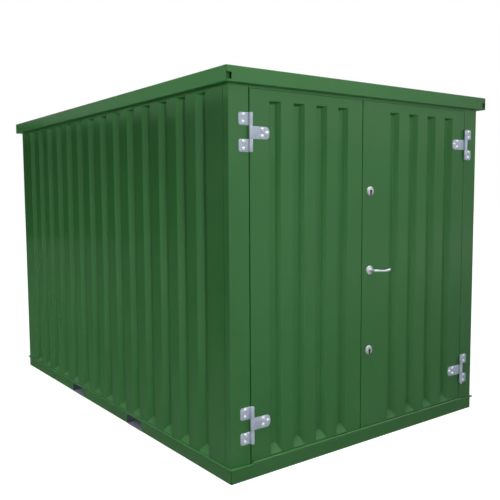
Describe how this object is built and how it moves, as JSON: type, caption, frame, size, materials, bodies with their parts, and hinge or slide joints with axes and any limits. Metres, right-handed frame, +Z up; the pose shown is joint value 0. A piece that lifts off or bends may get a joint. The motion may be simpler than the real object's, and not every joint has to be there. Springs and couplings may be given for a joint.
{
  "type": "portable site cabin",
  "caption": "Lockable green steel store with fluted walls, a double door in the short end, strap hinges, key locks, a lever handle and fork pockets.",
  "frame": {"origin": "on the ground under the middle of the body", "axes": "+Z up, +Y along the length from the door end to the back, +X to the right seen from the door end"},
  "size_m": [2.18, 3.148, 2.15],
  "materials": {
    "green_paint": "semi-gloss powder coat",
    "galvanised": "hot-dip galvanised",
    "floor_board": "film-faced plywood",
    "hinge_zinc": "bright zinc",
    "chrome": "polished chrome",
    "lock_cylinder": "satin nickel",
    "lock_case": "zinc plated"
  },
  "bodies": {
    "cabin": {"base_front_rail": "green_paint", "base_back_rail": "green_paint", "base_left_rail": "green_paint", "base_right_rail": "green_paint", "front_left_post": "green_paint", "front_right_post": "green_paint", "back_left_post": "green_paint", "back_right_post": "green_paint", "left_wall_front_panel": "green_paint", "left_wall_back_panel": "green_paint", "right_wall_front_panel": "green_paint", "right_wall_back_panel": "green_paint", "back_wall": "green_paint", "front_roof_rail": "green_paint", "back_roof_rail": "green_paint", "left_roof_rail": "green_paint", "right_roof_rail": "green_paint", "door_header": "green_paint", "door_threshold": "green_paint", "roof_bearers": "green_paint", "front_roof_sheet": "green_paint", "middle_roof_sheet": "green_paint", "back_roof_sheet": "green_paint", "front_fork_tunnel": "galvanised", "back_fork_tunnel": "galvanised", "floor_joists": "galvanised", "front_floor_board": "floor_board", "middle_floor_board": "floor_board", "back_floor_board": "floor_board", "upper_left_hinge_flanges": "hinge_zinc", "upper_right_hinge_flanges": "hinge_zinc", "lower_left_hinge_flanges": "hinge_zinc", "lower_right_hinge_flanges": "hinge_zinc"},
    "left_door": {"left_door_leaf": "green_paint", "upper_left_hinge_strap": "hinge_zinc", "lower_left_hinge_strap": "hinge_zinc"},
    "right_door": {"right_door_leaf": "green_paint", "lock_cases": "lock_case", "handle_rose": "chrome", "lock_roses": "chrome", "lock_cylinders": "lock_cylinder", "upper_right_hinge_strap": "hinge_zinc", "lower_right_hinge_strap": "hinge_zinc"},
    "handle": {"handle_lever": "chrome"}
  },
  "joints": [
    {"name": "left_door_swing", "type": "hinge", "parent": "cabin", "child": "left_door", "pos_m": [-0.917, -1.538, 0], "axis": [0, 0, -1], "range_deg": [0, 175]},
    {"name": "right_door_swing", "type": "hinge", "parent": "cabin", "child": "right_door", "pos_m": [0.917, -1.538, 0], "axis": [0, 0, 1], "range_deg": [0, 175]},
    {"name": "handle_turn", "type": "hinge", "parent": "right_door", "child": "handle", "pos_m": [-0.007, -1.525, 1.055], "axis": [0, 1, 0], "range_deg": [0, 40], "stiffness_Nm_per_rad": 0.8, "springref_deg": -34.38}
  ]
}
